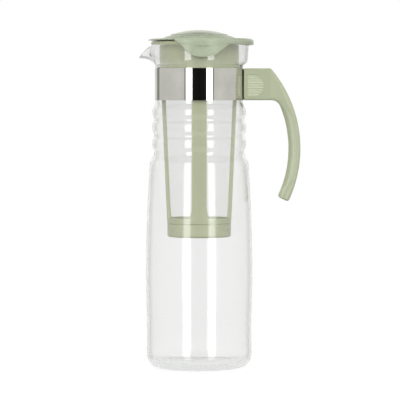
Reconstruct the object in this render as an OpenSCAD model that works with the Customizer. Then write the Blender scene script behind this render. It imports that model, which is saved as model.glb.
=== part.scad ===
// Cold brew tea pitcher: a blown glass body with a pulled pouring lip, a polished clamp band,
// an open hook handle, a hanging strainer with a mesh sleeve and a pull-off cap, and a domed lid.
// Origin at the centre of the resting ring, +Z up, pouring lip towards -X, handle towards +X.

/* [Glass body] */
// Thickness of the blown wall
wall = 2.3; // [1.8:0.1:3]
// Thickness of the floor at its centre
floor_t = 4.6; // [3.5:0.1:7]
// Radius of the rounded corner at the base
base_corner = 12; // [8:0.5:16]
// Rise of the hollow under the base
punt_h = 1.2; // [0.6:0.1:2.5]
// Width of the flat ring that the glass rests on
rest_w = 6; // [3:0.5:10]
// Outer radius just above the base corner
foot_r = 46.8; // [44:0.1:50]
// Outer radius at the waist
waist_r = 46.55; // [44:0.05:50]
// Height of the waist
waist_z = 34; // [24:1:44]
// Outer radius of the widest part
belly_r = 47.45; // [46:0.05:50]
// Height of the widest part
belly_z = 77; // [60:1:110]
// Outer radius at the shoulder
shoulder_r = 44.1; // [43:0.1:46]
// Height of the shoulder
shoulder_z = 181; // [165:1:200]
// Height over which the shoulder falls in to the first ripple
shoulder_fall = 11.9; // [8:0.1:16]
// Outer radius at a ripple's crest
crest_r = 41.9; // [41:0.1:44]
// Depth of a ripple from crest to valley
ripple_d = 1.7; // [0.5:0.1:2.5]
// Height of one ripple
ripple_pitch = 14.3; // [11:0.1:17]
// Number of ripples
ripple_n = 3; // [1:1:4]
// Height over which the last crest falls in to the neck
neck_fall = 8.9; // [6:0.1:14]
// Outer radius of the neck groove
neck_r = 39; // [37:0.1:40.5]
// Height of the neck groove
neck_len = 32; // [26:0.5:40]
// Height of the flared mouth above the neck groove
flare_h = 18.5; // [16:0.5:26]
// Bulge of the mouth just above the groove
flare_out = 4; // [2:0.1:4.8]
// Height over which that bulge is reached
flare_rise = 5.5; // [4:0.5:12]
// Outer radius of the mouth at its rim
rim_r = 44.2; // [43.2:0.1:46]
// Rounding of the rim's edges
rim_round = 0.9; // [0.5:0.1:1.1]

/* [Pouring lip] */
// Distance of the lip's tip from the axis
lip_tip_r = 53.4; // [50:0.2:58]
// Depth of the lip's tip below the rim
lip_drop = 10.6; // [6:0.2:13]
// Thickness of the glass at the tip
lip_t = 1.6; // [1.2:0.1:2.2]
// Half of the angle over which the lip is pulled out
lip_half_angle = 34; // [24:1:45]
// Sharpness of the beak, larger is narrower
lip_sharpness = 3.5; // [2:0.5:6]
// Fullness of the lip's edge, larger keeps it up further out
lip_fullness = 1.4; // [1:0.1:4]

/* [Neck band] */
// Thickness of the metal strip
band_t = 0.5; // [0.3:0.1:1]
// Bare groove left below the band
band_margin = 1.1; // [0.5:0.1:3]
// Bare groove left above the band
band_over = 2.6; // [1:0.1:4]
// Gap between the two clamping ears
ear_gap = 1; // [0.6:0.1:2]
// Length of an ear outside the band
ear_len = 13; // [11:0.5:16]
// Height of an ear
ear_h = 18; // [12:0.5:22]

/* [Handle] */
// Width of the handle's root
root_w = 18; // [16:0.5:22]
// Width of the grip
grip_w = 16; // [12:0.5:20]
// Thickness of the grip
grip_t = 10.4; // [8:0.2:13]
// Distance of the grip's back from the axis
grip_out_r = 90; // [84:0.5:98]
// Radius of the grip's back
grip_arc_r = 109.6; // [95:0.2:125]
// Drop of the grip's furthest point below the root
grip_mid_drop = 43; // [36:0.5:50]
// Angle of the grip's lower end below that point
grip_end_angle = 25.6; // [16:0.2:32]
// Radius of the inner corner between root and grip
crook_r = 8.5; // [6:0.1:20]
// Rounding of the outer corner between root and grip
corner_r = 2; // [1:0.1:5]
// Edge rounding of the root's end at the band
root_end = 1.2; // [0.3:0.1:2]
// Edge rounding of the root
root_edge = 2.4; // [1.5:0.1:3.5]
// Rounding of the grip's crowned sides, across its thickness
grip_edge = 4.9; // [3:0.1:5]
// Edge rounding of the grip's lower end
tip_round = 2.2; // [1:0.1:3]
// Radius of the ribbed thumb field
field_r = 9.6; // [8:0.1:12]
// Straight length of the ribbed thumb field
field_len = 5; // [3:0.5:7]
// Distance of the field from the band
field_start = 3.4; // [2:0.1:6]
// How far the field's middle lies below the band's middle
field_drop = 1; // [0:0.1:2]
// Depth of the ribbed thumb field
field_d = 0.8; // [0.4:0.1:1.2]
// Distance between two ribs of the field
rib_pitch = 2.2; // [1.6:0.1:3]
// Radius of one rib of the field
rib_r = 0.6; // [0.4:0.05:0.7]

/* [Clamp screw] */
// Diameter of the screw's shank
screw_d = 4; // [3:0.5:5]
// Diameter of the screw's head
head_d = 7.4; // [6.5:0.1:9]
// Height of the screw's head
head_h = 2.6; // [2:0.1:3]
// Width across the head's socket
socket_w = 3; // [2:0.5:3.5]
// Depth of the head's socket
socket_d = 1.7; // [1:0.1:1.9]
// Distance of the screw from the band
screw_off = 7.5; // [6.5:0.5:9]
// Width of the square nut
nut_w = 7; // [6:0.5:8]
// Thickness of the square nut
nut_t = 2.5; // [2:0.1:3]
// Wall between the ears and the nut
nut_wall = 2.2; // [1.5:0.1:2.4]
// Play of the screw in its holes, on the radius
screw_play = 0.2; // [0.1:0.05:0.4]

/* [Strainer] */
// Air between two loose pieces that rest flat on each other
rest_gap = 0.05; // [0.03:0.01:0.1]
// Thickness of the flange that hangs on the rim
flange_t = 2.8; // [2:0.1:4]
// How far the flange's edge stays inside the rim's edge
flange_inset = 1.3; // [0.4:0.1:1.5]
// Rounding of the flange's upper edge
flange_edge = 1.6; // [0.5:0.1:2]
// Rounding of the flange's lower edge
flange_low_edge = 0.3; // [0.2:0.1:0.4]
// Gap between the collar and the neck's inside
collar_gap = 1.3; // [0.5:0.1:2]
// Thickness of the collar
collar_t = 2; // [1.5:0.1:2.6]
// Depth of the collar below the rim
collar_len = 26; // [20:0.5:32]
// Step from the collar in to the cage
cage_step = 0.9; // [0.4:0.1:2]
// Length of the cage below the collar
cage_len = 133.1; // [110:1:150]
// Outer radius of the cage at its lower end
cage_bottom_r = 28.6; // [26:0.1:31]
// Thickness of the cage's ribs and rings
cage_t = 2.6; // [2:0.1:3.5]
// Width of a cage rib
rib_w = 13.2; // [8:0.2:16]
// Height of a rib's widening foot
rib_foot_h = 10; // [6:0.5:14]
// Width of that foot on each side of the rib
rib_foot_w = 1.8; // [1:0.1:4]
// Height of the solid ring above the windows
top_ring_h = 12; // [6:0.5:20]
// Height of the lower ring
low_ring_h = 5; // [4:0.1:10]
// Thickness of the mesh sleeve
mesh_t = 0.4; // [0.3:0.05:0.8]
// Lap of the mesh sleeve on the upper ring
mesh_lap = 5; // [2:0.5:5.5]
// Lap of the mesh sleeve on the lower ring
mesh_low_lap = 1.3; // [0.8:0.1:2]

/* [Strainer cap] */
// Height of the cap below the lower ring
cap_h = 11.9; // [8:0.1:18]
// Wall thickness of the cap
cap_t = 2; // [1.5:0.1:3]
// How far the cap's side stays inside the lower ring's edge
cap_inset = 0.2; // [0:0.1:1]
// Rounding of the cap's lower edge
cap_edge = 2; // [1:0.1:3]
// Chamfer on both sides of the seam between ring and cap
seam_edge = 0.5; // [0.2:0.1:0.8]
// Gap between the spigot's end and the mesh sleeve
spigot_gap = 0.7; // [0.4:0.1:1.5]
// Wall thickness of the spigot
spigot_t = 1.8; // [1.4:0.1:2.6]
// Play of the spigot in the ring, on the radius
spigot_play = 0.3; // [0.3:0.05:0.6]

/* [Lid] */
// Turn of the lid on the neck
lid_turn = 4.3; // [-8:0.1:8]
// Thickness of the lid's plate
plate_t = 2.3; // [2:0.1:3.4]
// Gap between the glass and the lid's rim
rim_gap = 1.2; // [0.8:0.1:2.4]
// Thickness of the lid's rim
lid_rim_t = 3.1; // [2.4:0.1:4]
// Depth of the lid's rim below the plate
lid_rim_drop = 3.2; // [2:0.1:5]
// Rounding of the rim's upper edge
lid_edge = 3; // [2:0.1:3.8]
// Rounding of the rim's lower edge
lid_low_edge = 0.8; // [0.4:0.1:1.2]
// Radius of the dome
dome_r = 25.4; // [22:0.1:28]
// Rise of the dome above its edge
dome_rise = 4.2; // [3:0.1:7]
// Thickness of the dome
dome_t = 2.2; // [1.6:0.1:3]
// Height of the dome's edge above the plate
dome_edge_h = 3.7; // [2.4:0.1:5]
// Height of the crisp step round the dome
dome_step = 0.5; // [0.3:0.1:1.2]
// Radius at which the slope round the dome meets the plate
slope_r = 33.5; // [31:0.5:38]
// Depth of the plug below the plate
plug_len = 12; // [8:0.5:18]
// Wall thickness of the plug
plug_t = 1.8; // [1.4:0.1:2.4]
// Play of the plug in the collar, on the radius
plug_play = 0.4; // [0.3:0.05:0.8]
// Height of the pouring gap over the strainer's flange
pour_gap = 0.9; // [0.6:0.1:1.2]
// How far the plate's edge stands past the flange at the pouring gap
pour_over = 2.5; // [1:0.1:3.6]
// Width of the plate's falling edge over the pouring gap
visor_run = 3.4; // [1.5:0.1:4]
// Fall of that edge
visor_fall = 1; // [0.3:0.1:1.2]
// Number of slots in the plug behind the pouring gap
comb_n = 7; // [3:2:9]
// Width of one slot
comb_w = 2.4; // [1.6:0.1:2.8]
// Angle between two slots
comb_step = 9; // [7:0.5:10]

/* [Finger tabs] */
// Depth of a tab below the plate
tab_len = 14.4; // [10:0.2:18]
// Thickness of a tab
tab_t = 2.6; // [2:0.1:3]
// How far a tab's face stays inside the rim's face
tab_inset = 0.4; // [0.2:0.1:0.8]
// Half width of a tab at the top of the pouring gap
tab_top_w = 25.2; // [22:0.2:28]
// Half width of a tab where it meets the rim, away from the pouring gap
tab_rim_w = 23.2; // [20:0.2:26]
// Half width of a tab near its lower end
tab_low_w = 10.6; // [8:0.2:14]
// Height of the tab's rounded lower end
tab_low_h = 2; // [1.4:0.1:4]
// Depth of the flat thumb place on a tab
thumb_d = 1.25; // [0.5:0.05:1.5]
// Height of the thumb place above the tab's lower end
thumb_h = 9.8; // [6:0.1:11]

/* [Hidden] */
$fn = 96;
// Extra length of a cutter past the face that it opens
past = 1;

// Heights of the glass, from the table up
ripple_z = shoulder_z + shoulder_fall;
crest_z = ripple_z + ripple_pitch * (ripple_n - 0.5);
neck_z = crest_z + neck_fall;
neck_top = neck_z + neck_len;
rim_z = neck_top + flare_h;
valley_r = crest_r - ripple_d;
rest_r = foot_r - base_corner;
// How late the body draws in between belly and shoulder, how gently the punt rises, how broad a
// ripple's crest is and how suddenly the mouth bulges out
draw_in = 2.2;
punt_slope = 4;
crest_swell = 1.7;
flare_swell = 2.5;

// Band, screw and nut
band_z = neck_z + band_margin;
band_h = neck_len - band_margin - band_over;
band_top = band_z + band_h;
band_or = neck_r + band_t;
clamp_z = band_z + band_h / 2;
clamp_x = band_or + screw_off;
ear_end = band_or + ear_len;
ears_y = ear_gap / 2 + band_t;
nut_y = ears_y + nut_wall;
head_y = root_w / 2 - field_d - head_h;

// Handle: centres of the grip's arcs, of the crook under the root and of the corner above it
grip_cx = grip_out_r - grip_arc_r;
grip_cz = band_z - grip_mid_drop;
grip_in_r = grip_arc_r - grip_t;
crook_z = band_z - crook_r;
crook_x = grip_cx + sqrt(pow(grip_in_r - crook_r, 2) - pow(crook_z - grip_cz, 2));
crook_end = atan2(crook_z - grip_cz, crook_x - grip_cx);
corner_z = band_top - corner_r;
corner_x = grip_cx + sqrt(pow(grip_arc_r - corner_r, 2) - pow(corner_z - grip_cz, 2));
corner_end = atan2(corner_z - grip_cz, corner_x - grip_cx);
// Start of the turn from root to grip, the straight part of its underside and the whole of that
turn_x = min(corner_x, crook_x);
turn_flat = crook_x - turn_x;
turn_len = turn_flat + crook_r * (90 - crook_end) * PI / 180;
field_z = clamp_z - field_drop;
tip_angle = tip_round / grip_arc_r * 180 / PI;
corner_steps = 4;
crook_steps = 10;
grip_steps = 22;
tip_steps = 4;
root_steps = 3;
corner_points = 7;

// Strainer
flange_z = rim_z + rest_gap;
seat_z = flange_z + flange_t;
flange_r = rim_r - flange_inset;
collar_r = neck_r - wall - collar_gap;
collar_ir = collar_r - collar_t;
cage_z = rim_z - collar_len;
cage_top_r = collar_r - cage_step;
ring_z = cage_z - cage_len;
cap_top = ring_z - rest_gap;
cap_z = cap_top - cap_h;
cap_r = cage_bottom_r - cap_inset;
spigot_r = cage_bottom_r - cage_t - spigot_play;
spigot_len = low_ring_h - mesh_low_lap - spigot_gap;

// Lid
plate_z = seat_z + rest_gap;
lid_top = plate_z + plate_t;
lid_in_r = rim_r + rim_gap;
lid_r = lid_in_r + lid_rim_t;
// Reach and height of a cutter that passes right out of the lid or the strainer
far = 2 * lid_r;
tall = 2 * rim_z;
lid_low = plate_z - lid_rim_drop;
dome_edge_z = lid_top + dome_edge_h;
// How late the slope round the dome falls
slope_swell = 1.3;
dome_sphere_r = (pow(dome_r, 2) + pow(dome_rise, 2)) / (2 * dome_rise);
dome_centre_z = dome_edge_z + dome_rise - dome_sphere_r;
plug_r = collar_ir - plug_play;
pour_r = flange_r + pour_over;
gap_top = plate_z + pour_gap;
tab_low = plate_z - tab_len;
tab_r = lid_r - tab_inset;
comb_top = plate_z + pour_gap / 2;

function mix(a, b, t) = a + (b - a) * t;
// Eases from 0 to 1 with a level start and end
function ease(t) = (1 - cos(180 * t)) / 2;
function arc(centre, r, from, to, n) =
    [for (i = [0 : n]) centre + r * [cos(mix(from, to, i / n)), sin(mix(from, to, i / n))]];
function bezier(p, t) =
    pow(1 - t, 3) * p[0] + 3 * t * pow(1 - t, 2) * p[1] + 3 * t * t * (1 - t) * p[2] + pow(t, 3) * p[3];

// Share of a ripple's depth at a height: 0 on its crest and 1 in its valley
function ripple_share(z) =
    let (turn = (z - ripple_z) / ripple_pitch) ease(pow(abs(2 * (turn - floor(turn)) - 1), crest_swell));

// Outer radius of the glass at a height, from the base corner up to the neck groove
function glass_r(z) =
    z < waist_z ? mix(foot_r, waist_r, ease((z - base_corner) / (waist_z - base_corner))) :
    z < belly_z ? mix(waist_r, belly_r, ease((z - waist_z) / (belly_z - waist_z))) :
    z < shoulder_z ? mix(belly_r, shoulder_r, pow((z - belly_z) / (shoulder_z - belly_z), draw_in)) :
    z < ripple_z ? mix(shoulder_r, valley_r, ease((z - shoulder_z) / shoulder_fall)) :
    z < crest_z ? mix(crest_r, valley_r, ripple_share(z)) :
    z < neck_z ? mix(crest_r, neck_r, ease((z - crest_z) / neck_fall)) :
    neck_r;

// Heights at which the glass profile takes a point
function between(from, to, n) = [for (i = [0 : n - 1]) mix(from, to, i / n)];
glass_heights = concat(
    between(base_corner, waist_z, 4),
    between(waist_z, belly_z, 7),
    between(belly_z, shoulder_z, 12),
    between(shoulder_z, ripple_z, 8),
    between(ripple_z, crest_z, 8 * (2 * ripple_n - 1)),
    between(crest_z, neck_z, 7),
    [neck_z, neck_top]);

// Rotates a profile of radius and height about the axis
module turned(points) {
    rotate_extrude() polygon(points);
}

// Side of the mouth at a share of its height: outer and inner face, plain and at the lip's middle
function mouth_outer(t) =
    let (up = t * (flare_h - rim_round),
         bulge = 1 - pow(1 - min(up, flare_rise) / flare_rise, flare_swell))
    [neck_r + flare_out * bulge + (rim_r - neck_r - flare_out) * up / flare_h, neck_top + up];
function mouth_inner(t) = mouth_outer(t) - [wall, 0];
tip_z = rim_z - lip_drop;
lip_pull = lip_tip_r - neck_r;
// Control points of the lip's underside, and the wall's offset from each of them to the inside
lip_outer_curve = [
    [neck_r, neck_top],
    [neck_r + 0.18 * lip_pull, mix(neck_top, tip_z - lip_t, 0.72)],
    [neck_r + 0.5 * lip_pull, tip_z - lip_t],
    [lip_tip_r - rim_round, tip_z - lip_t]];
lip_inner_curve = lip_outer_curve
    + [[-wall, 0], [-1.2 * wall, 0.8 * wall], [-0.5 * wall, 0.85 * wall], [0, lip_t]];
// How far the lip is pulled out at an angle from its middle
function pull(a) = abs(a) < lip_half_angle ? pow(cos(90 * a / lip_half_angle), lip_sharpness) : 0;

// One section of the mouth: up the outside, over the rim and down the inside, into the neck's wall
mouth_steps = 9;
// Shares of the wall between which the rim is flat
crown_shares = [0.3, 0.85];
// How far the mouth stays inside the neck's faces where it runs down into the neck's wall
seam = 0.05;
seam_depth = 1.5;
function pulled(plain, lip, p) =
    [mix(plain[0], lip[0], p), mix(plain[1], lip[1], pow(p, lip_fullness))];
function mouth_section(p) =
    let (outer = [for (i = [1 : mouth_steps])
                  pulled(mouth_outer(i / mouth_steps), bezier(lip_outer_curve, i / mouth_steps), p)],
         inner = [for (i = [mouth_steps : -1 : 1])
                  pulled(mouth_inner(i / mouth_steps), bezier(lip_inner_curve, i / mouth_steps), p)],
         over = mix([0, rim_round], [rim_round, 0], p),
         crown = [for (s = crown_shares) mix(outer[mouth_steps - 1], inner[0], s) + over])
    concat([[neck_r - 2 * seam, neck_top - seam_depth], [neck_r - seam, neck_top]], outer, crown, inner,
           [[neck_r - wall + seam, neck_top], [neck_r - wall + 2 * seam, neck_top - seam_depth]]);

// Angles from the lip's middle at which the mouth takes a section, closer together at the lip
lip_sections = 24;
plain_sections = 46;
mouth_angles = concat(
    between(-lip_half_angle, lip_half_angle, lip_sections),
    between(lip_half_angle, 360 - lip_half_angle, plain_sections));

module mouth() {
    n = len(mouth_angles);
    m = len(mouth_section(0));
    points = [for (a = mouth_angles) for (q = mouth_section(pull(a)))
              [-q[0] * cos(a), -q[0] * sin(a), q[1]]];
    faces = [for (i = [0 : n - 1], j = [0 : m - 1])
             let (i2 = (i + 1) % n, j2 = (j + 1) % m)
             each [[i * m + j, i * m + j2, i2 * m + j2], [i * m + j, i2 * m + j2, i2 * m + j]]];
    polyhedron(points, faces);
}

module glass_body() {
    outer = concat(
        [[0, punt_h], [rest_r - rest_w - punt_h * punt_slope, punt_h], [rest_r - rest_w, 0]],
        arc([rest_r, base_corner], base_corner, -90, 0, 10),
        [for (z = glass_heights) if (z > base_corner) [glass_r(z), z]]);
    inner_corner = base_corner - wall;
    inner = concat(
        [for (i = [len(glass_heights) - 1 : -1 : 0])
         if (glass_heights[i] > floor_t + inner_corner)
         [glass_r(glass_heights[i]) - wall, glass_heights[i]]],
        arc([foot_r - wall - inner_corner, floor_t + inner_corner], inner_corner, 0, -90, 8),
        [[0, floor_t]]);
    color([0.93, 0.95, 0.95, 0.35]) {
        turned(concat(outer, inner));
        mouth();
    }
}

module neck_band() {
    color([0.78, 0.78, 0.76]) difference() {
        union() {
            translate([0, 0, band_z]) difference() {
                cylinder(h = band_h, r = band_or);
                translate([0, 0, -past]) cylinder(h = band_h + 2 * past, r = neck_r);
                translate([0, -ear_gap / 2, -past]) cube([far, ear_gap, band_h + 2 * past]);
            }
            for (side = [-1, 1])
                translate([neck_r + band_t / 2, side > 0 ? ear_gap / 2 : -ears_y, clamp_z - ear_h / 2])
                    cube([ear_end - neck_r - band_t / 2, band_t, ear_h]);
        }
        translate([clamp_x, 0, clamp_z]) rotate([90, 0, 0])
            cylinder(h = 2 * ears_y + 2 * past, d = screw_d + 2 * screw_play, center = true);
    }
}

// Rectangle of half sizes a and b with oval corners, listed as points round its edge
function rounded(a, b, ra, rb) =
    [for (q = [0 : 3], k = [0 : corner_points - 1])
     let (turn = q * 90 + 90 * k / (corner_points - 1),
          sx = (q == 0 || q == 3) ? 1 : -1,
          sy = q < 2 ? 1 : -1)
     [sx * (a - ra) + ra * cos(turn), sy * (b - rb) + rb * sin(turn)]];

// One ring of the handle between an inner and an outer point of its side view
corner_most = 0.95;
function handle_ring(low, high, width, edge, depth) =
    let (mid = (low + high) / 2, half = norm(high - low) / 2, out = (high - low) / (2 * half))
    [for (q = rounded(half, width / 2, min(edge, corner_most * half), depth))
     [mid[0] + q[0] * out[0], q[1], mid[1] + q[0] * out[1]]];

// Underside of the turn at a share of its length: straight, then round the crook
function turn_under(share) =
    let (run = share * turn_len, a = 90 - (run - turn_flat) / crook_r * 180 / PI)
    run < turn_flat ? [turn_x + run, band_z] : [crook_x, crook_z] + crook_r * [cos(a), sin(a)];

// Back of the turn: round the corner, then down the grip's back
turn_back = concat(
    arc([corner_x, corner_z], corner_r, 90, corner_end, corner_steps),
    arc([grip_cx, grip_cz], grip_arc_r, mix(corner_end, crook_end, 1 / crook_steps), crook_end,
        crook_steps - 1));

function grip_ring(a, inset) =
    let (u = [cos(a), sin(a)], c = [grip_cx, grip_cz])
    handle_ring(c + (grip_in_r + inset) * u, c + (grip_arc_r - inset) * u,
                grip_w - 2 * inset, grip_edge - inset, root_edge * (1 - inset / grip_edge));

module handle_body() {
    root_rings = [for (i = [0 : root_steps])
                  let (t = 90 * i / root_steps,
                       x = band_or + root_end * (1 - cos(t)),
                       e = root_end * (1 - sin(t)))
                  handle_ring([x, band_z + e], [x, band_top - e], root_w - 2 * e,
                              root_edge - e, root_edge - e)];
    turn_n = corner_steps + crook_steps;
    turn_rings = [for (i = [0 : turn_n])
                  let (share = i / turn_n)
                  handle_ring(turn_under(share), turn_back[i], mix(root_w, grip_w, ease(share)),
                              mix(root_edge, grip_edge, ease(share)), root_edge)];
    grip_stop = -grip_end_angle + tip_angle;
    grip_rings = [for (i = [1 : grip_steps]) grip_ring(mix(crook_end, grip_stop, i / grip_steps), 0)];
    tip_rings = [for (i = [1 : tip_steps])
                 let (s = i / tip_steps)
                 grip_ring(grip_stop - tip_angle * sin(90 * s), tip_round * (1 - cos(90 * s)))];
    rings = concat(root_rings, turn_rings, grip_rings, tip_rings);
    n = len(rings);
    m = len(rings[0]);
    sides = [for (i = [0 : n - 2], j = [0 : m - 1])
             let (j2 = (j + 1) % m)
             each [[i * m + j, (i + 1) * m + j2, i * m + j2],
                   [i * m + j, (i + 1) * m + j, (i + 1) * m + j2]]];
    ends = [[for (j = [0 : m - 1]) j], [for (j = [m - 1 : -1 : 0]) (n - 1) * m + j]];
    polyhedron([for (ring = rings) each ring], concat(sides, ends));
}

// Outline of the ribbed thumb field, straight towards the band and round towards the grip
module field_outline() {
    translate([band_or + field_start + field_len, field_z]) {
        intersection() {
            circle(field_r);
            translate([0, -field_r]) square([field_r, 2 * field_r]);
        }
        translate([-field_len, -field_r]) square([field_len, 2 * field_r]);
    }
}

// Material taken out of one side of the root, which leaves the field's ribs standing
module field_cut(side) {
    count = floor((field_r - rib_r) / rib_pitch);
    difference() {
        translate([0, side > 0 ? root_w / 2 + past : -root_w / 2 + field_d, 0]) rotate([90, 0, 0])
            linear_extrude(field_d + past) field_outline();
        for (i = [-count : count])
            translate([band_or, side * (root_w / 2 - field_d), field_z + i * rib_pitch])
                rotate([0, 90, 0]) cylinder(h = field_start + field_len + field_r + past, r = rib_r);
    }
}

module handle() {
    color([0.69, 0.725, 0.576]) difference() {
        handle_body();
        for (side = [-1, 1]) field_cut(side);
        // Slot for the band's ears
        translate([0, -ears_y, clamp_z - ear_h / 2]) cube([ear_end, 2 * ears_y, ear_h]);
        // Screw hole with its counterbore
        translate([clamp_x, -nut_y, clamp_z]) rotate([-90, 0, 0])
            cylinder(h = nut_y + head_y + past, r = screw_d / 2 + screw_play);
        translate([clamp_x, head_y, clamp_z]) rotate([-90, 0, 0])
            cylinder(h = root_w, r = head_d / 2 + screw_play);
        // Pocket for the square nut, open towards the band
        translate([0, -nut_y - nut_t, clamp_z - nut_w / 2]) cube([clamp_x + nut_w / 2, nut_t, nut_w]);
    }
}

module clamp_screw() {
    color([0.7, 0.7, 0.7]) translate([clamp_x, 0, clamp_z]) difference() {
        union() {
            translate([0, -nut_y - nut_t, 0]) rotate([-90, 0, 0])
                cylinder(h = nut_y + nut_t + head_y + past, d = screw_d);
            translate([0, head_y, 0]) rotate([-90, 0, 0]) cylinder(h = head_h, d = head_d);
        }
        translate([0, head_y + head_h - socket_d, 0]) rotate([-90, 0, 0])
            cylinder(h = head_h, d = socket_w / cos(30), $fn = 6);
    }
}

module clamp_nut() {
    color([0.6, 0.6, 0.6]) translate([clamp_x, -nut_y - nut_t, clamp_z]) difference() {
        translate([-nut_w / 2, 0, -nut_w / 2]) cube([nut_w, nut_t, nut_w]);
        translate([0, -past, 0]) rotate([-90, 0, 0]) cylinder(h = nut_t + 2 * past, d = screw_d);
    }
}

// Side view of one window half: square at the top, with a rib's foot curving out to the lower ring
module window_outline() {
    low = ring_z + low_ring_h;
    high = cage_z - top_ring_h;
    polygon(concat(
        [for (t = [0 : 0.25 : 1]) [rib_w / 2 + rib_foot_w * t * t, low + rib_foot_h * (1 - t)]],
        [[far, low], [far, high], [rib_w / 2, high]]));
}

// One of the four windows between the cage's ribs
module window() {
    intersection() {
        rotate([90, 0, 0]) translate([0, 0, -far]) linear_extrude(far) window_outline();
        rotate([0, 0, 90]) rotate([90, 0, 0]) linear_extrude(far) window_outline();
    }
}

module strainer_frame() {
    color([0.765, 0.785, 0.655]) difference() {
        turned(concat(
            [[collar_ir, seat_z], [collar_ir, cage_z], [cage_top_r - cage_t, cage_z - collar_t],
             [cage_bottom_r - cage_t, ring_z], [cage_bottom_r - seam_edge, ring_z],
             [cage_bottom_r, ring_z + seam_edge],
             [cage_top_r, cage_z], [collar_r, cage_z], [collar_r, flange_z]],
            arc([flange_r - flange_low_edge, flange_z + flange_low_edge], flange_low_edge, -90, 0, 3),
            arc([flange_r - flange_edge, seat_z - flange_edge], flange_edge, 0, 90, 5)));
        for (a = [0 : 90 : 270]) rotate(a) window();
    }
}

module strainer_mesh() {
    low = ring_z + low_ring_h - mesh_low_lap;
    high = cage_z - top_ring_h + mesh_lap;
    inner_slope = (cage_top_r - cage_bottom_r) / (cage_len - collar_t);
    function lining(z) = cage_bottom_r - cage_t + inner_slope * (z - ring_z);
    color([0.88, 0.89, 0.89])
        turned([[lining(low) - mesh_t, low], [lining(low), low],
                [lining(high), high], [lining(high) - mesh_t, high]]);
}

module strainer_cap() {
    color([0.765, 0.785, 0.655])
        turned(concat(
            [[0, cap_z]],
            arc([cap_r - cap_edge, cap_z + cap_edge], cap_edge, -90, 0, 6),
            [[cap_r, cap_top - seam_edge], [cap_r - seam_edge, cap_top],
             [spigot_r, cap_top], [spigot_r, ring_z + spigot_len],
             [spigot_r - spigot_t, ring_z + spigot_len], [spigot_r - spigot_t, cap_z + cap_t],
             [0, cap_z + cap_t]]));
}

// Front view of a tab: a flank up to the pouring gap, one into the rim, and a rounded lower end
module tab_outline() {
    low_r = (pow(tab_low_w, 2) + pow(tab_low_h, 2)) / (2 * tab_low_h);
    swing = asin(tab_low_w / low_r);
    side_z = tab_low + tab_low_h;
    inside_w = mix(tab_low_w, tab_rim_w, (gap_top - side_z) / (lid_low - side_z));
    polygon(concat(
        [[-tab_top_w, gap_top]],
        arc([0, tab_low + low_r], low_r, -90 - swing, -90 + swing, 8),
        [[inside_w, gap_top]]));
}

// Everything beside the tabs' flanks, on the side of the pouring lip
module lip_side_outline() {
    flank_run = (tab_top_w - tab_low_w) / (gap_top - tab_low - tab_low_h);
    // Sliver of the flank that goes with the cut, so that one plane makes the whole flank
    trim = 0.2;
    low = tab_low - past;
    polygon([[trim - tab_top_w, gap_top], [-far, gap_top], [-far, low],
             [trim - tab_top_w + flank_run * (gap_top - low), low]]);
}

module lid_shell() {
    turned(concat(
        arc([0, dome_centre_z], dome_sphere_r, 90, 90 - asin(dome_r / dome_sphere_r), 10),
        [[dome_r, dome_edge_z - dome_step]],
        [for (t = [0.25 : 0.25 : 1])
         [mix(dome_r, slope_r, t), mix(dome_edge_z - dome_step, lid_top, pow(t, slope_swell))]],
        arc([lid_r - lid_edge, lid_top - lid_edge], lid_edge, 90, 0, 8),
        arc([lid_r - lid_low_edge, lid_low + lid_low_edge], lid_low_edge, 0, -90, 3),
        [[lid_in_r, lid_low], [lid_in_r, plate_z], [plug_r, plate_z], [plug_r, plate_z - plug_len],
         [plug_r - plug_t, plate_z - plug_len], [plug_r - plug_t, plate_z],
         [dome_r, dome_edge_z - dome_step - plate_t]],
        arc([0, dome_centre_z], dome_sphere_r - dome_t,
            90 - asin((dome_r - dome_t) / (dome_sphere_r - dome_t)), 90, 8)));
}

// Space of the plate that stays over the pouring gap, with its falling edge
module visor() {
    inner_r = pour_r - visor_run * (1 + past / visor_fall);
    turned([[0, gap_top - 2 * past], [pour_r, gap_top - 2 * past], [pour_r, lid_top - visor_fall],
            [inner_r, lid_top + past], [inner_r, tall], [0, tall]]);
}

module finger_tab() {
    difference() {
        intersection() {
            difference() {
                translate([0, 0, tab_low]) cylinder(h = gap_top - tab_low, r = tab_r);
                translate([0, 0, tab_low - past]) cylinder(h = tab_len + 2 * past, r = tab_r - tab_t);
            }
            rotate([90, 0, 0]) linear_extrude(far) tab_outline();
        }
        translate([-far / 2, thumb_d - tab_r - far, tab_low - past]) cube([far, far, thumb_h + past]);
    }
}

module lid() {
    color([0.706, 0.753, 0.647]) rotate(lid_turn) difference() {
        union() {
            lid_shell();
            finger_tab();
            mirror([0, 1, 0]) finger_tab();
        }
        // Rim and underside cut away beside the pouring lip
        difference() {
            rotate([90, 0, 0]) translate([0, 0, -far]) linear_extrude(2 * far) lip_side_outline();
            cylinder(h = tall, r = plug_r);
        }
        difference() {
            translate([-far, -far, gap_top - past]) cube([far - tab_top_w, 2 * far, far]);
            visor();
        }
        // Comb of slots that holds back the leaves
        for (i = [-(comb_n - 1) / 2 : (comb_n - 1) / 2])
            rotate(180 + i * comb_step)
                translate([plug_r - plug_t - past, -comb_w / 2, plate_z - plug_len - past])
                    cube([plug_t + 2 * past, comb_w, comb_top - plate_z + plug_len + past]);
    }
}

glass_body();
neck_band();
handle();
clamp_screw();
clamp_nut();
strainer_frame();
strainer_mesh();
strainer_cap();
lid();
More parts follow.
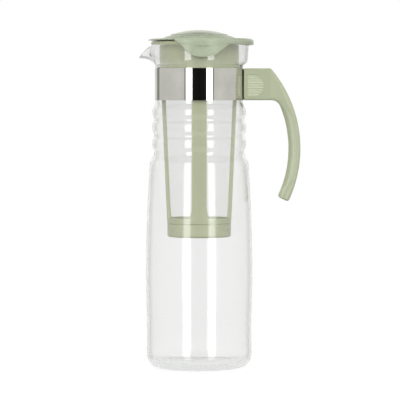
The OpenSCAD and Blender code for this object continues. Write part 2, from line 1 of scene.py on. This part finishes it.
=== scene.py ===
import bpy
import math
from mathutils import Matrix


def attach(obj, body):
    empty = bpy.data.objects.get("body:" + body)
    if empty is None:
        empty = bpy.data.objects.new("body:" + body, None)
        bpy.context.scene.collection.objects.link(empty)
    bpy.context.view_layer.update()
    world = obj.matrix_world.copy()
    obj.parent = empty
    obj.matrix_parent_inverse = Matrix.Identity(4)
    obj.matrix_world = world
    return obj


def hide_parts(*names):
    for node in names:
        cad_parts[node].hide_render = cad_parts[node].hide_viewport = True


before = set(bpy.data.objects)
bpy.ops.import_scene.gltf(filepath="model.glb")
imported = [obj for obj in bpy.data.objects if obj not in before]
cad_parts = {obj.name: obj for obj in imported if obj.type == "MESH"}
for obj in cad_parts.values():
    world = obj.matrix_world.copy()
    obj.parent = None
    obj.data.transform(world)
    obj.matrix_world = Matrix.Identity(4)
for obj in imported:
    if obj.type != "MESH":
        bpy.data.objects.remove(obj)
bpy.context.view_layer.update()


# Glass body
# One piece of clear heat-proof glass, blown into a mould that gives it the waist and the three
# ripples under the neck. The rim is fire-polished, and the pouring lip is pulled while it is soft.
MM = 0.001
wall, floor_t = 2.3, 4.6
foot_r, base_corner = 46.8, 12.0
punt_h, punt_slope, rest_w = 1.2, 4.0, 6.0
waist_r, waist_z = 46.55, 34.0
belly_r, belly_z = 47.45, 77.0
shoulder_r, shoulder_z, shoulder_fall = 44.1, 181.0, 11.9
draw_in, crest_swell, flare_swell = 2.2, 1.7, 2.5
crest_r, ripple_d, ripple_pitch, ripple_n = 41.9, 1.7, 14.3, 3
neck_r, neck_fall, neck_len = 39.0, 8.9, 32.0
flare_h, flare_out, flare_rise = 18.5, 4.0, 5.5
rim_r, rim_round = 44.2, 0.9
lip_tip_r, lip_drop, lip_t = 53.4, 10.6, 1.6
lip_half_angle, lip_sharpness, lip_fullness = 34.0, 3.5, 1.4
rest_r = foot_r - base_corner
valley_r = crest_r - ripple_d
ripple_z = shoulder_z + shoulder_fall
crest_z = ripple_z + ripple_pitch * (ripple_n - 0.5)
neck_z = crest_z + neck_fall
neck_top = neck_z + neck_len
rim_z = neck_top + flare_h
tip_z = rim_z - lip_drop
glass_sides = 192


def mix(a, b, t):
    return a + (b - a) * t


def mix_point(p, q, t):
    return mix(p[0], q[0], t), mix(p[1], q[1], t)


def ease(t):
    return (1 - math.cos(math.pi * t)) / 2


def glass_r(z):
    """Outer radius of the glass at a height between the base corner and the neck groove."""
    if z < waist_z:
        return mix(foot_r, waist_r, ease((z - base_corner) / (waist_z - base_corner)))
    if z < belly_z:
        return mix(waist_r, belly_r, ease((z - waist_z) / (belly_z - waist_z)))
    if z < shoulder_z:
        return mix(belly_r, shoulder_r, ((z - belly_z) / (shoulder_z - belly_z)) ** draw_in)
    if z < ripple_z:
        return mix(shoulder_r, valley_r, ease((z - shoulder_z) / shoulder_fall))
    if z < crest_z:
        turn = (z - ripple_z) / ripple_pitch
        aside = abs(2 * (turn - math.floor(turn)) - 1)
        return mix(crest_r, valley_r, ease(aside ** crest_swell))
    if z < neck_z:
        return mix(crest_r, neck_r, ease((z - crest_z) / neck_fall))
    return neck_r


def steps(start, end, n):
    return [mix(start, end, i / n) for i in range(n)]


def arc(cx, cz, r, start, end, n):
    turns = [math.radians(mix(start, end, i / n)) for i in range(n + 1)]
    return [(cx + r * math.cos(a), cz + r * math.sin(a)) for a in turns]


def bezier(p, t):
    weights = (1 - t) ** 3, 3 * t * (1 - t) ** 2, 3 * t * t * (1 - t), t ** 3
    return tuple(sum(w * q[k] for w, q in zip(weights, p)) for k in (0, 1))


def mouth_side(t):
    """Outer face of the plain mouth, at a share of its height."""
    up = t * (flare_h - rim_round)
    bulge = 1 - (1 - min(up, flare_rise) / flare_rise) ** flare_swell
    splay = (rim_r - neck_r - flare_out) * up / flare_h
    return neck_r + flare_out * bulge + splay, neck_top + up


# Control points of the lip's lower face, and the way from each of them to the upper face
lip_under_z = tip_z - lip_t
lip_pull = lip_tip_r - neck_r
low_out, low_rise, high_out = 0.18, 0.72, 0.5
lip_under = [(neck_r, neck_top),
             (neck_r + low_out * lip_pull, mix(neck_top, lip_under_z, low_rise)),
             (neck_r + high_out * lip_pull, lip_under_z),
             (lip_tip_r - rim_round, lip_under_z)]
lip_wall = [(-wall, 0), (-1.2 * wall, 0.8 * wall), (-0.5 * wall, 0.85 * wall), (0, lip_t)]
lip_upper = [(p[0] + w[0], p[1] + w[1]) for p, w in zip(lip_under, lip_wall)]

# Section of the mouth up the outside, over the rim and down the inside: plain, and at the lip
mouth_steps, crown_steps = 16, 8
shares = [i / mouth_steps for i in range(1, mouth_steps + 1)]
plain_out = [mouth_side(t) for t in shares]
plain_in = [(r - wall, z) for r, z in plain_out]
lip_out = [bezier(lip_under, t) for t in shares]
lip_in = [bezier(lip_upper, t) for t in shares]


def crown(outer, inner, over):
    """Rounded edge of the rim between the last outer and the last inner point."""
    turns = [math.pi * i / crown_steps for i in range(1, crown_steps)]
    middle = [mix_point(outer, inner, (1 - math.cos(a)) / 2) for a in turns]
    return [(p[0] + over[0] * math.sin(a), p[1] + over[1] * math.sin(a))
            for p, a in zip(middle, turns)]


plain_section = plain_out + crown(plain_out[-1], plain_in[-1], (0, rim_round)) + plain_in[::-1]
lip_section = lip_out + crown(lip_out[-1], lip_in[-1], (rim_round, 0)) + lip_in[::-1]

# Whole profile, from the middle of the base up the outside and down the inside to the floor. The
# corners of the hollow under the base and of the resting ring are a little soft.
ripple_steps = 10
heights = (steps(base_corner, waist_z, 8) + steps(waist_z, belly_z, 10)
           + steps(belly_z, shoulder_z, 16) + steps(shoulder_z, ripple_z, ripple_steps)
           + steps(ripple_z, crest_z, ripple_steps * (2 * ripple_n - 1))
           + steps(crest_z, neck_z, ripple_steps) + steps(neck_z, neck_top, 6) + [neck_top])
inner_corner = base_corner - wall
inner_floor_r = foot_r - wall - inner_corner
ring_r = rest_r - rest_w
punt_r = ring_r - punt_h * punt_slope
punt_soft, punt_dip = 0.6, 0.1
ring_soft, ring_lift, floor_soft = 0.4, 0.12, 0.8
profile = [(0, punt_h), (punt_r - punt_soft, punt_h), (punt_r + punt_soft, punt_h - punt_dip),
           (ring_r - punt_soft, ring_lift), (ring_r + ring_soft, 0), (rest_r - ring_soft, 0)]
profile += arc(rest_r, base_corner, base_corner, -90, 0, 14)
profile += [(glass_r(z), z) for z in heights if z > base_corner]
profile += plain_section
profile += [(glass_r(z) - wall, z) for z in heights[::-1] if z > floor_t + inner_corner]
profile += arc(inner_floor_r, floor_t + inner_corner, inner_corner, 0, -90, 12)
profile += [(inner_floor_r - floor_soft, floor_t), (0, floor_t)]


def start_piece(name):
    """The object that a primitive has just made, under its own name."""
    piece = bpy.context.active_object
    piece.name = name
    piece.data.name = name
    return piece


def lathe(name, points, sides):
    """Draws a profile of radius and height in mm point by point, and spins it about the axis."""
    bpy.ops.object.select_all(action="DESELECT")
    bpy.ops.mesh.primitive_plane_add(size=MM, location=(0, 0, 0))
    piece = start_piece(name)
    bpy.ops.object.mode_set(mode="EDIT")
    bpy.ops.mesh.select_all(action="SELECT")
    bpy.ops.mesh.merge(type="CENTER")
    bpy.ops.transform.translate(value=(points[0][0] * MM, 0, points[0][1] * MM))
    for here, there in zip(points, points[1:]):
        move = (there[0] - here[0]) * MM, 0, (there[1] - here[1]) * MM
        bpy.ops.mesh.extrude_region_move(TRANSFORM_OT_translate={"value": move})
    bpy.ops.mesh.select_all(action="SELECT")
    bpy.ops.mesh.spin(steps=sides, angle=2 * math.pi, center=(0, 0, 0), axis=(0, 0, 1))
    bpy.ops.mesh.select_all(action="SELECT")
    bpy.ops.mesh.remove_doubles(threshold=MM / 500)
    bpy.ops.mesh.normals_make_consistent(inside=False)
    bpy.ops.object.mode_set(mode="OBJECT")
    bpy.ops.object.shade_smooth()
    return piece


glass = lathe("blown_glass", profile, glass_sides)

# The lip is pulled out of the plain mouth, from just over the neck groove
lip_from_z = neck_top + 0.01
for v in glass.data.vertices:
    if v.co.z <= lip_from_z * MM:
        continue
    r, z = math.hypot(v.co.x, v.co.y) / MM, v.co.z / MM
    away = abs(math.degrees(math.atan2(v.co.y, -v.co.x)))
    if away >= lip_half_angle:
        continue
    pull = math.cos(math.radians(90 * away / lip_half_angle)) ** lip_sharpness
    i = min(range(len(plain_section)),
            key=lambda k: (plain_section[k][0] - r) ** 2 + (plain_section[k][1] - z) ** 2)
    r_new = mix(plain_section[i][0], lip_section[i][0], pull)
    z_new = mix(plain_section[i][1], lip_section[i][1], pull ** lip_fullness)
    v.co = (v.co.x * r_new / r, v.co.y * r_new / r, z_new * MM)
glass.data.update()


def start_material(name):
    """A new material, its node tree and its shader."""
    mat = bpy.data.materials.new(name)
    mat.use_nodes = True
    return mat, mat.node_tree, mat.node_tree.nodes["Principled BSDF"]


def feed(node, inputs):
    """Gives a node's inputs their values: numbers, colours or the outputs of other nodes."""
    for name, value in inputs.items():
        if isinstance(value, bpy.types.NodeSocket):
            node.id_data.links.new(value, node.inputs[name])
        else:
            node.inputs[name].default_value = value
    return node


def add_node(tree, kind, inputs=None, **settings):
    """A new node with its settings and the values of its inputs."""
    node = tree.nodes.new("ShaderNode" + kind)
    for name, value in settings.items():
        setattr(node, name, value)
    return feed(node, inputs or {})


def object_place(tree):
    """Place on the piece, in metres from the part's origin."""
    return add_node(tree, "TexCoord").outputs["Object"]


def split(tree, vector):
    """The X, Y and Z of a vector."""
    return add_node(tree, "SeparateXYZ", {"Vector": vector}).outputs


def noise(tree, vector, scale, detail=2, distortion=0):
    """Soft noise between 0 and 1, with about this many patches to a length of 1."""
    values = {"Vector": vector, "Scale": scale, "Detail": detail, "Distortion": distortion}
    return add_node(tree, "TexNoise", values).outputs["Fac"]


def uneven(tree, height, strength, distance):
    """Normal of a face that a height makes a little uneven."""
    values = {"Height": height, "Strength": strength, "Distance": distance}
    return add_node(tree, "Bump", values).outputs["Normal"]


def remap(tree, value, given, wanted, kind="LINEAR"):
    """A value moved from the range that is given to the range that is wanted."""
    values = {"Value": value, "From Min": given[0], "From Max": given[1],
              "To Min": wanted[0], "To Max": wanted[1]}
    return add_node(tree, "MapRange", values, interpolation_type=kind).outputs["Result"]


def math_node(tree, operation, first, second=0):
    """Result of a math node of two values, each of them a number or the output of a node."""
    return add_node(tree, "Math", {0: first, 1: second}, operation=operation).outputs[0]


glass_mat, tree, shader = start_material("clear_glass_blown")
place = object_place(tree)
# Slow waves that blowing leaves in the wall, longer up the body than round it
stretch = add_node(tree, "Mapping", {"Vector": place, "Scale": (1, 1, 0.35)})
waves = noise(tree, stretch.outputs["Vector"], 45, detail=1)
# The mould leaves the body's skin a little uneven, and the flame makes the mouth bright again
body_haze, mouth_haze = 0.17, 0.02
haze = remap(tree, split(tree, place)["Z"], (neck_z * MM, neck_top * MM), (body_haze, mouth_haze))
feed(shader, {"Base Color": (0.952, 0.953, 0.95, 1), "Roughness": 0.0, "IOR": 1.34,
              "Transmission Weight": 1.0, "Coat Weight": 0.6, "Coat Roughness": haze,
              "Normal": uneven(tree, waves, 0.015, 0.0002)})
# Lamp rays and soft bounces pass straight through, so that the strainer inside is lit, and so do
# rays that have been mirrored before they reach the glass
path = add_node(tree, "LightPath").outputs
soft_ray = math_node(tree, "MAXIMUM", path["Is Shadow Ray"], path["Is Diffuse Ray"])
caught = math_node(tree, "GREATER_THAN", path["Glossy Depth"], 0.5)
clear = add_node(tree, "BsdfTransparent", {"Color": (0.955, 0.958, 0.952, 1)})
through = add_node(tree, "MixShader", {
    "Fac": math_node(tree, "MAXIMUM", soft_ray, caught),
    1: shader.outputs["BSDF"], 2: clear.outputs["BSDF"]})
absorb = add_node(tree, "VolumeAbsorption", {"Color": (0.55, 0.6, 0.56, 1), "Density": 8})
feed(tree.nodes["Material Output"], {
    "Surface": through.outputs["Shader"], "Volume": absorb.outputs["Volume"]})
glass.data.materials.append(glass_mat)
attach(glass, "jug")
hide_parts("glass_body")


# Neck band
# A strip of stainless steel, bent round the neck groove and polished to a mirror. Its two ears run
# into the handle's root, where the clamp screw pulls them together.
def ramp(tree, value, stops):
    """Colour of a value on a ramp through stops, each of them a place and a colour."""
    node = add_node(tree, "ValToRGB", {"Fac": value})
    elements = node.color_ramp.elements
    elements[0].position, elements[1].position = stops[0][0], stops[-1][0]
    for spot, colour in stops[1:-1]:
        elements.new(spot)
    for element, (spot, colour) in zip(elements, stops):
        element.position = spot
        element.color = (*colour, 1)
    return node.outputs["Color"]


band_mat, tree, shader = start_material("polished_band_steel")
place = object_place(tree)
# Faint polishing lines round the neck, and smears that dull the mirror a little
lines_map = add_node(tree, "Mapping", {"Vector": place, "Scale": (4, 4, 900)})
lines = noise(tree, lines_map.outputs["Vector"], 1, detail=3)
smears = noise(tree, place, 60, detail=3)
feed(shader, {
    "Metallic": 1.0,
    "Base Color": ramp(tree, smears, [(0.35, (0.66, 0.65, 0.63)), (0.65, (0.72, 0.71, 0.69))]),
    "Roughness": remap(tree, smears, (0.35, 0.75), (0.015, 0.05)),
    "Normal": uneven(tree, lines, 0.015, 0.00001)})
bpy.data.objects["neck_band"].material_slots[0].material = band_mat


# Handle
# An open hook of sage green plastic, moulded in one piece. The root has a ribbed thumb field on
# both sides, takes the band's ears in a slot, and hides the screw on the far side.
handle_sharp = 32


def smooth_copy(node, name, sharp):
    """A copy of a solid's mesh, joined along its edges and smooth up to a crease angle."""
    solid = bpy.data.objects[node]
    piece = solid.copy()
    piece.data = solid.data.copy()
    piece.name = name
    piece.data.name = name
    bpy.context.collection.objects.link(piece)
    bpy.ops.object.select_all(action="DESELECT")
    piece.select_set(True)
    bpy.context.view_layer.objects.active = piece
    bpy.ops.mesh.customdata_custom_splitnormals_clear()
    bpy.ops.object.mode_set(mode="EDIT")
    bpy.ops.mesh.select_all(action="SELECT")
    bpy.ops.mesh.remove_doubles(threshold=MM / 200)
    bpy.ops.object.mode_set(mode="OBJECT")
    bpy.ops.object.shade_smooth_by_angle(angle=math.radians(sharp))
    return piece


hook = smooth_copy("handle", "hook_handle", handle_sharp)

# The grip's sides have a bevel along the inner edge, and lean a little towards it from there on:
# half of the thickness by the depth behind that edge, and how much of this applies by the height
grip_x, grip_z, grip_in_r = -19.6, 195.65, 99.2
lean = [(0, 3.7), (0.7, 4.45), (2.45, 6.2), (3.6, 6.8), (7.95, 7.68), (11, 7.68)]
fade = [(160, 0), (167, 1), (224, 1), (236, 0)]


def along(points, at):
    """Height of a line through points at a place, and level past both its ends."""
    for here, there in zip(points, points[1:]):
        if at <= there[0]:
            return mix(here[1], there[1], max(0, (at - here[0]) / (there[0] - here[0])))
    return points[-1][1]


for v in hook.data.vertices:
    x, y, z = (c / MM for c in v.co)
    depth = math.hypot(x - grip_x, z - grip_z) - grip_in_r
    side_y = mix(abs(y), min(abs(y), along(lean, depth)), ease(along(fade, z)))
    v.co.y = math.copysign(side_y, y) * MM
hook.data.update()
bpy.ops.object.shade_smooth_by_angle(angle=math.radians(handle_sharp))
level = hook.modifiers.new("level faces", "WEIGHTED_NORMAL")
level.keep_sharp = True
level.weight = 80
bpy.ops.object.modifier_apply(modifier=level.name)

# Skin of moulded plastic: fine spark-eroded grain, and slow flow marks that shift its colour
skin = bpy.data.node_groups.new("moulded_skin", "ShaderNodeTree")
for way, names in (("INPUT", ("Grain", "Flow")), ("OUTPUT", ("Tone", "Sheen", "Height"))):
    for name in names:
        skin.interface.new_socket(name, in_out=way, socket_type="NodeSocketFloat")
scales = skin.nodes.new("NodeGroupInput").outputs
place = object_place(skin)
flow = noise(skin, place, scales["Flow"], detail=3, distortion=0.4)
grain = noise(skin, place, scales["Grain"])
grain_share = 0.3
speck = add_node(skin, "Math", {0: grain, 1: grain_share, 2: flow}, operation="MULTIPLY_ADD")
feed(skin.nodes.new("NodeGroupOutput"), {
    "Tone": speck.outputs[0], "Sheen": noise(skin, place, 140), "Height": grain})


def moulded_plastic(name, deep, pale, flow_scale, satin):
    """A satin moulded plastic between two close tones of one colour, and two roughnesses."""
    mat, tree, shader = start_material(name)
    face = add_node(tree, "Group", {"Grain": 1800, "Flow": flow_scale}, node_tree=skin).outputs
    feed(shader, {"Base Color": ramp(tree, face["Tone"], [(0.45, deep), (0.85, pale)]),
                  "Roughness": remap(tree, face["Sheen"], (0.3, 0.7), satin),
                  "Specular IOR Level": 0.42,
                  "Normal": uneven(tree, face["Height"], 0.12, 0.00008)})
    return mat, tree, shader


def fed_by(shader, name):
    """The output that feeds one of the shader's inputs so far."""
    return shader.inputs[name].links[0].from_socket


def blend(tree, share, first, second, kind="MIX"):
    """A mix of two colours, each of them plain or the output of a node."""
    values = {"Factor": share, "A": first, "B": second}
    return add_node(tree, "Mix", values, data_type="RGBA", blend_type=kind).outputs["Result"]


def reach(tree, across, up):
    """Distance from a middle that is this far away across and up."""
    squares = [math_node(tree, "MULTIPLY", way, way) for way in (across, up)]
    return math_node(tree, "SQRT", math_node(tree, "ADD", *squares))


handle_mat, tree, shader = moulded_plastic(
    "handle_plastic_sage", (0.51, 0.555, 0.372), (0.55, 0.593, 0.411), 14, (0.19, 0.25))
# The thumb field is painted paler: a painted highlight that stands for the sheen its ribs catch. Its
# place is in metres, as the nodes read it.
field_x, field_start_x, field_z, field_r, field_y = 0.0479, 0.0429, 0.2518, 0.0096, 0.0078
field_painted_highlight, field_highlight_share = (0.69, 0.735, 0.545, 1), 0.85
place = split(tree, object_place(tree))
run = math_node(tree, "MAXIMUM", math_node(tree, "SUBTRACT", place["X"], field_x), 0)
rise = math_node(tree, "SUBTRACT", place["Z"], field_z)
field = math_node(tree, "LESS_THAN", reach(tree, run, rise), field_r)
past_start = math_node(tree, "GREATER_THAN", place["X"], field_start_x)
on_side = math_node(tree, "GREATER_THAN", math_node(tree, "ABSOLUTE", place["Y"]), field_y)
for bound in (past_start, on_side, field_highlight_share):
    field = math_node(tree, "MULTIPLY", field, bound)
# Painted highlight: the field's base colour is mixed towards a paler sage
feed(shader, {"Base Color": blend(tree, field, fed_by(shader, "Base Color"), field_painted_highlight)})
hook.data.materials.clear()
hook.data.materials.append(handle_mat)
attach(hook, "jug")
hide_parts("handle")


# Clamp screw and nut
# A plain steel socket screw across the handle's root, and the square nut that it turns in. They
# pull the band's ears together and so hold band and handle on the neck.
screw_mat, tree, shader = start_material("screw_steel_turned")
scratch = noise(tree, object_place(tree), 900, detail=4)
feed(shader, {"Metallic": 1.0,
              "Base Color": ramp(tree, scratch, [(0, (0.42, 0.42, 0.42)), (1, (0.62, 0.62, 0.61))]),
              "Roughness": remap(tree, scratch, (0, 1), (0.24, 0.42))})
for node in ("clamp_screw", "clamp_nut"):
    bpy.data.objects[node].material_slots[0].material = screw_mat


# Strainer frame and cap
# The frame is one moulding: the flange that hangs on the rim, the collar in the neck, and a cage
# of four ribs with a ring at its lower end. The cap is a shallow cup pushed into that ring.
strainer_mat = moulded_plastic(
    "strainer_plastic_sage", (0.56, 0.595, 0.392), (0.595, 0.63, 0.421), 16, (0.26, 0.34))[0]
for node in ("strainer_frame", "strainer_cap"):
    bpy.data.objects[node].material_slots[0].material = strainer_mat


# Strainer mesh
# A sleeve of fine nylon cloth, woven plain and moulded into the cage, so that it shows in the four
# windows between the ribs.
sleeve_low_z, sleeve_high_z = 132.65, 255.05
sleeve_low_r, sleeve_high_r = 25.96, 31.46
sleeve_rows, sleeve_sides = 24, 128
thread_gap = 0.42
slope = (sleeve_high_r - sleeve_low_r) / (sleeve_high_z - sleeve_low_z)
sleeve_profile = [(sleeve_low_r + slope * (z - sleeve_low_z), z)
                  for z in steps(sleeve_low_z, sleeve_high_z, sleeve_rows) + [sleeve_high_z]]
sleeve = lathe("mesh_sleeve", sleeve_profile, sleeve_sides)
cloth_uv = sleeve.data.uv_layers.new(name="threads")
for face in sleeve.data.polygons:
    corners = [sleeve.data.vertices[i].co for i in face.vertices]
    turns = [math.atan2(co.y, co.x) for co in corners]
    wraps = max(turns) - min(turns) > math.pi
    for corner, turn, co in zip(face.loop_indices, turns, corners):
        turn = turn + 2 * math.pi if wraps and turn < 0 else turn
        cloth_uv.data[corner].uv = (turn / (2 * math.pi), co.z)


def thread_mask(tree, length, count):
    """1 on a thread and 0 between threads, for this many threads over a length of 1."""
    wave = math_node(tree, "PINGPONG", math_node(tree, "MULTIPLY", length, count), 0.5)
    return remap(tree, wave, (0.08, 0.18), (1, 0), "SMOOTHSTEP")


cloth_mat, tree, shader = start_material("mesh_cloth_nylon")
cloth = split(tree, add_node(tree, "UVMap", uv_map="threads").outputs["UV"])
ring_length = math.pi * (sleeve_low_r + sleeve_high_r)
woven = math_node(tree, "MAXIMUM",
                  thread_mask(tree, cloth["X"], round(ring_length / thread_gap)),
                  thread_mask(tree, cloth["Y"], 1 / (thread_gap * MM)))
dye = ramp(tree, noise(tree, object_place(tree), 30),
           [(0.3, (0.95, 0.96, 0.955)), (0.7, (0.975, 0.982, 0.978))])
feed(shader, {"Base Color": dye, "Roughness": 0.55, "Normal": uneven(tree, woven, 0.4, 0.0001)})
# Milky threads that scatter a little of the light, and clearer gaps between them
glow = add_node(tree, "BsdfTranslucent", {"Color": dye})
thread = add_node(tree, "MixShader", {
    "Fac": 0.5, 1: shader.outputs["BSDF"], 2: glow.outputs["BSDF"]})
gap = add_node(tree, "BsdfTransparent")
veil = add_node(tree, "MixShader", {
    "Fac": remap(tree, woven, (0, 1), (0.08, 0.2)),
    1: gap.outputs["BSDF"], 2: thread.outputs["Shader"]})
feed(tree.nodes["Material Output"], {"Surface": veil.outputs["Shader"]})
sleeve.data.materials.append(cloth_mat)
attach(sleeve, "strainer")
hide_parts("strainer_mesh")


# Lid
# A domed lid of pale sage plastic, moulded with two finger tabs, a plug that stands in the
# strainer's collar, and a gap with a comb of slots over the pouring lip.
lid_sharp = 30
cover_lid = smooth_copy("lid", "domed_lid", lid_sharp)

# The round under the rim flattens out over the finger tabs, so that rim and tab are one face there
lid_turn, tab_mid_x, tab_half_w, tab_fade_w = math.radians(4.3), 1.35, 21.5, 5.0
lid_r, under_round, under_z = 48.5, 0.8, 288.55
round_rows = arc(lid_r - under_round, under_z, under_round, 0, -60, 2)
flat_rows = [(lid_r, 289.3), (48.33, 288.2), (48.1, 286.9)]
row_play = 0.02
for v in cover_lid.data.vertices:
    r, z = math.hypot(v.co.x, v.co.y) / MM, v.co.z / MM
    x = r * math.cos(math.atan2(v.co.y, v.co.x) - lid_turn)
    over_tab = ease(min(1, max(0, (tab_half_w - abs(x - tab_mid_x)) / tab_fade_w)))
    for row, flat_row in zip(round_rows, flat_rows):
        if math.dist((r, z), row) < row_play:
            r_new, z_new = mix_point(row, flat_row, over_tab)
            v.co = (v.co.x * r_new / r, v.co.y * r_new / r, z_new * MM)
cover_lid.data.update()
bpy.ops.object.shade_smooth_by_angle(angle=math.radians(lid_sharp))

lid_mat, tree, shader = moulded_plastic(
    "lid_plastic_sage", (0.457, 0.517, 0.373), (0.488, 0.548, 0.401), 12, (0.24, 0.32))
# A polished place in the mould leaves the dome glossy, and its colour is painted deeper: painted
# shade that darkens the whole dome. Its place is in metres too.
dome_r, dome_low_z = 0.0282, 0.2935
dome_painted_shade, dome_gloss, lid_grain = (0.416, 0.462, 0.352, 1), 0.7, 0.05
place = split(tree, object_place(tree))
dome = math_node(tree, "MULTIPLY",
                 math_node(tree, "LESS_THAN", reach(tree, place["X"], place["Y"]), dome_r),
                 math_node(tree, "GREATER_THAN", place["Z"], dome_low_z))
satin_left = math_node(tree, "SUBTRACT", 1, math_node(tree, "MULTIPLY", dome, dome_gloss))
grain_left = math_node(tree, "SUBTRACT", lid_grain, math_node(tree, "MULTIPLY", dome, lid_grain))
# Painted shade: the dome's base colour is mixed towards a darker sage
feed(shader, {
    "Base Color": blend(tree, dome, fed_by(shader, "Base Color"), dome_painted_shade),
    "Roughness": math_node(tree, "MULTIPLY", fed_by(shader, "Roughness"), satin_left)})
feed(fed_by(shader, "Normal").node, {"Strength": grain_left})
cover_lid.data.materials.clear()
cover_lid.data.materials.append(lid_mat)
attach(cover_lid, "cover")
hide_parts("lid")


# Floor
# A plain white table top. It takes the pitcher's shadow, and fades to the white of the room.
table_r, table_sides, table_z = 3, 96, -0.0003
bpy.ops.object.select_all(action="DESELECT")
bpy.ops.mesh.primitive_circle_add(
    vertices=table_sides, radius=table_r, fill_type="NGON", location=(0, 0, table_z))
table = start_piece("table_top")
bpy.ops.object.transform_apply(location=True)
table.visible_glossy = False
table_mat, tree, shader = start_material("table_white")
away = add_node(tree, "VectorMath", {0: object_place(tree)}, operation="LENGTH")
near = remap(tree, away.outputs["Value"], (0.12, 0.5), (0.55, 0), "SMOOTHSTEP")
feed(shader, {"Base Color": near, "Roughness": 0.9, "Specular IOR Level": 0.0})
# What the lamps leave short of white is made up for the eye, so that only the shadow stays grey
lamp_share = 0.7
path = add_node(tree, "LightPath").outputs
seen = math_node(tree, "MAXIMUM", path["Is Camera Ray"], path["Is Transmission Ray"])
rest = math_node(tree, "SUBTRACT", 1, math_node(tree, "MULTIPLY", near, lamp_share))
glow = add_node(tree, "Emission", {"Strength": math_node(tree, "MULTIPLY", seen, rest)})
total = add_node(tree, "AddShader", {0: shader.outputs["BSDF"], 1: glow.outputs["Emission"]})
feed(tree.nodes["Material Output"], {"Surface": total.outputs["Shader"]})
table.data.materials.append(table_mat)


# Studio
# A white room with two upright strip lamps beside the camera, a dark gap between them and a grey
# stripe on each side wall. Metal and glass mirror the room, and seen directly it is plain white.
warmth = 0.97
room = bpy.data.worlds.new("white_room")
bpy.context.scene.world = room
room.use_nodes = True
tree = room.node_tree
look = split(tree, add_node(tree, "TexCoord").outputs["Generated"])
turn = math_node(tree, "ARCTAN2", look["X"], math_node(tree, "MULTIPLY", look["Y"], -1))
half_turns = math_node(tree, "DIVIDE", math_node(tree, "ABSOLUTE", turn), math.pi)


def greys(stops):
    """Stops of a ramp in warm greys, from pairs of a place and a brightness."""
    return [(spot, (grey, grey, grey * warmth)) for spot, grey in stops]


walls = ramp(tree, half_turns, greys([
    (0.0, 0.01), (0.098, 0.015), (0.106, 1.0), (0.2, 1.0), (0.202, 0.25), (0.212, 0.3),
    (0.216, 0.9), (0.3, 0.97), (0.42, 0.92), (0.68, 0.89), (0.7, 0.8), (0.71, 0.4),
    (0.79, 0.4), (0.8, 1.0), (1.0, 1.0)]))
# The room is dark between the top of its walls and its ceiling, and white on its floor
levels = ramp(tree, remap(tree, look["Z"], (-1, 1), (0, 1)), greys([
    (0.0, 0.8), (0.52, 0.8), (0.56, 1.0), (0.718, 1.0), (0.78, 0.05), (0.845, 0.05),
    (0.865, 0.9), (1.0, 0.9)]))
inside = blend(tree, 1, walls, levels, "MULTIPLY")
ground = remap(tree, look["Z"], (-0.32, -0.2), (1, 0))
floored = blend(tree, ground, inside, (0.92, 0.92, 0.92, 1))
# Soft light for the object itself, dimmer from the ceiling than from the walls
wall_light, ceiling_light = 1.12, 0.45
soft = remap(tree, look["Z"], (0, 1), (wall_light, ceiling_light))
path = add_node(tree, "LightPath").outputs
outside = math_node(tree, "LESS_THAN", path["Transmission Depth"], 0.5)
mirror = math_node(tree, "MULTIPLY", path["Is Glossy Ray"], outside)
mirrored = blend(tree, mirror, soft, floored)
# Rays that are mirrored inside the glass see the pale mean of the room
within = math_node(tree, "MULTIPLY", path["Is Glossy Ray"], math_node(tree, "SUBTRACT", 1, outside))
pale = blend(tree, within, mirrored, (0.85, 0.85, 0.85, 1))
straight = math_node(tree, "MAXIMUM", path["Is Camera Ray"], path["Is Transmission Ray"])
white = blend(tree, straight, pale, (1, 1, 1, 1))
feed(tree.nodes["Background"], {"Color": white, "Strength": 1.0})

lamp_distance, lamp_middle_z = 1.2, 0.32
lamp_width, lamp_height, lamp_energy = 0.31, 1.24, 4.4
for name, angle in (("strip_lamp_left", -25.5), ("strip_lamp_right", 26.5)):
    a = math.radians(angle)
    lamp = bpy.data.lights.new(name, "AREA")
    lamp.shape = "RECTANGLE"
    lamp.size, lamp.size_y = lamp_width, lamp_height
    lamp.energy = lamp_energy
    holder = bpy.data.objects.new(name, lamp)
    bpy.context.collection.objects.link(holder)
    holder.location = (lamp_distance * math.sin(a), -lamp_distance * math.cos(a), lamp_middle_z)
    holder.rotation_euler = (math.pi / 2, 0, a)
    holder.visible_camera = False


# Camera
# A long lens at the height of the neck, tipped down a little, as in the photograph.
camera_distance, eye_z = 2.29, 0.243
aim_x, aim_z = 0.0007, 0.1497
picture_width = 0.3566
camera = bpy.data.cameras.new("camera")
camera.sensor_width = 36
camera.lens = camera.sensor_width * camera_distance / picture_width
camera_holder = bpy.data.objects.new("camera", camera)
bpy.context.collection.objects.link(camera_holder)
camera_holder.location = (aim_x, -camera_distance, eye_z)
camera_holder.rotation_euler = (math.pi / 2 - math.atan((eye_z - aim_z) / camera_distance), 0, 0)
bpy.context.scene.camera = camera_holder
bpy.context.scene.view_settings.view_transform = "Standard"
